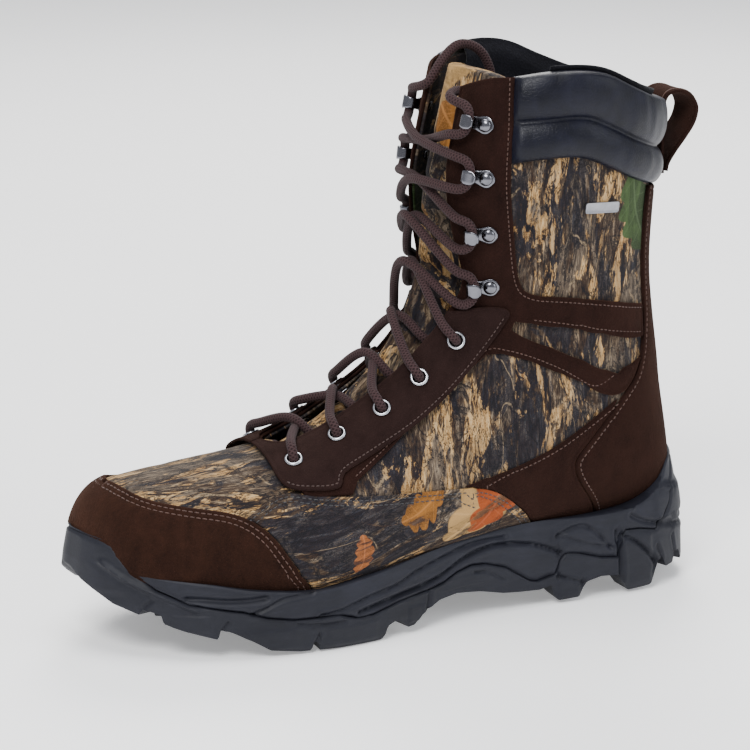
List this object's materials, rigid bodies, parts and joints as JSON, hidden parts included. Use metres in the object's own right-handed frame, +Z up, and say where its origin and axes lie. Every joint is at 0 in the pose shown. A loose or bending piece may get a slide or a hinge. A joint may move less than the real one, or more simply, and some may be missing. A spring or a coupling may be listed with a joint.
{
  "type": "insulated hunting boot",
  "caption": "Insulated lace-up hunting boot with suede overlays on printed fabric, a padded collar, speed hooks, a pull loop and a lugged rubber sole.",
  "frame": {"origin": "on the floor, under the middle of the boot's bounding box", "axes": "+Z up, toe towards -X, heel towards +X, the outer (lateral) side of the foot towards -Y"},
  "size_m": [0.324, 0.1166, 0.2661],
  "materials": {
    "camo_fabric": "woven nylon printed with bark, leaves and twigs",
    "suede": "dark brown suede with a short nap",
    "nubuck": "fine brown nubuck",
    "collar_skin": "smooth coated leather with a soft sheen",
    "lining_fabric": "matt knitted lining",
    "padding": "felted insulation and foam",
    "fibre_board": "pressed fibre board",
    "footbed_foam": "moulded foam with a cloth top",
    "midsole_rubber": "matt moulded foam rubber",
    "outsole_rubber": "matt moulded rubber",
    "lace_cord": "round braided polyester",
    "spring_steel": "spring steel",
    "nickel": "dark polished nickel plate"
  },
  "bodies": {
    "boot": {"vamp": "camo_fabric", "quarter_lateral": "camo_fabric", "quarter_medial": "camo_fabric", "toe_cap": "suede", "heel_counter": "suede", "side_band_lateral": "camo_fabric", "rear_overlay_lateral": "suede", "facing_lateral": "suede", "eyestay_lateral": "nubuck", "side_band_medial": "camo_fabric", "rear_overlay_medial": "suede", "facing_medial": "suede", "eyestay_medial": "nubuck", "toe_puff": "fibre_board", "counter_stiffener": "fibre_board", "insulation": "padding", "lining": "lining_fabric", "insole_board": "fibre_board", "shank": "spring_steel", "midsole": "midsole_rubber", "outsole": "outsole_rubber", "collar_cover": "collar_skin", "collar_foam_lower": "padding", "collar_foam_upper": "padding", "eyelet_lateral_1": "nickel", "eyelet_lateral_2": "nickel", "eyelet_lateral_3": "nickel", "eyelet_lateral_4": "nickel", "eyelet_lateral_5": "nickel", "eyelet_medial_1": "nickel", "eyelet_medial_2": "nickel", "eyelet_medial_3": "nickel", "eyelet_medial_4": "nickel", "eyelet_medial_5": "nickel", "hook_lateral_1": "nickel", "hook_lateral_2": "nickel", "hook_lateral_3": "nickel", "hook_lateral_4": "nickel", "hook_medial_1": "nickel", "hook_medial_2": "nickel", "hook_medial_3": "nickel", "hook_medial_4": "nickel", "lace": "lace_cord", "tag": "nickel"},
    "tongue": {"tongue_face": "camo_fabric", "tongue_foam": "padding", "tongue_lining": "lining_fabric"},
    "footbed": {"footbed": "footbed_foam"},
    "pull_loop": {"pull_loop": "suede"}
  },
  "joints": [
    {"name": "tongue_press", "type": "hinge", "parent": "boot", "child": "tongue", "pos_m": [-0.066, 0.002, 0.084], "axis": [0, 1, 0], "range_deg": [0, 2], "stiffness_Nm_per_rad": 12},
    {"name": "footbed_lift", "type": "hinge", "parent": "boot", "child": "footbed", "pos_m": [-0.134, 0.01, 0.03], "axis": [0, -1, 0], "range_deg": [0, 3]},
    {"name": "pull_loop_flex", "type": "hinge", "parent": "boot", "child": "pull_loop", "pos_m": [0.142, 0.0027, 0.196], "axis": [0, 1, 0], "range_deg": [0, 10], "stiffness_Nm_per_rad": 0.3}
  ]
}
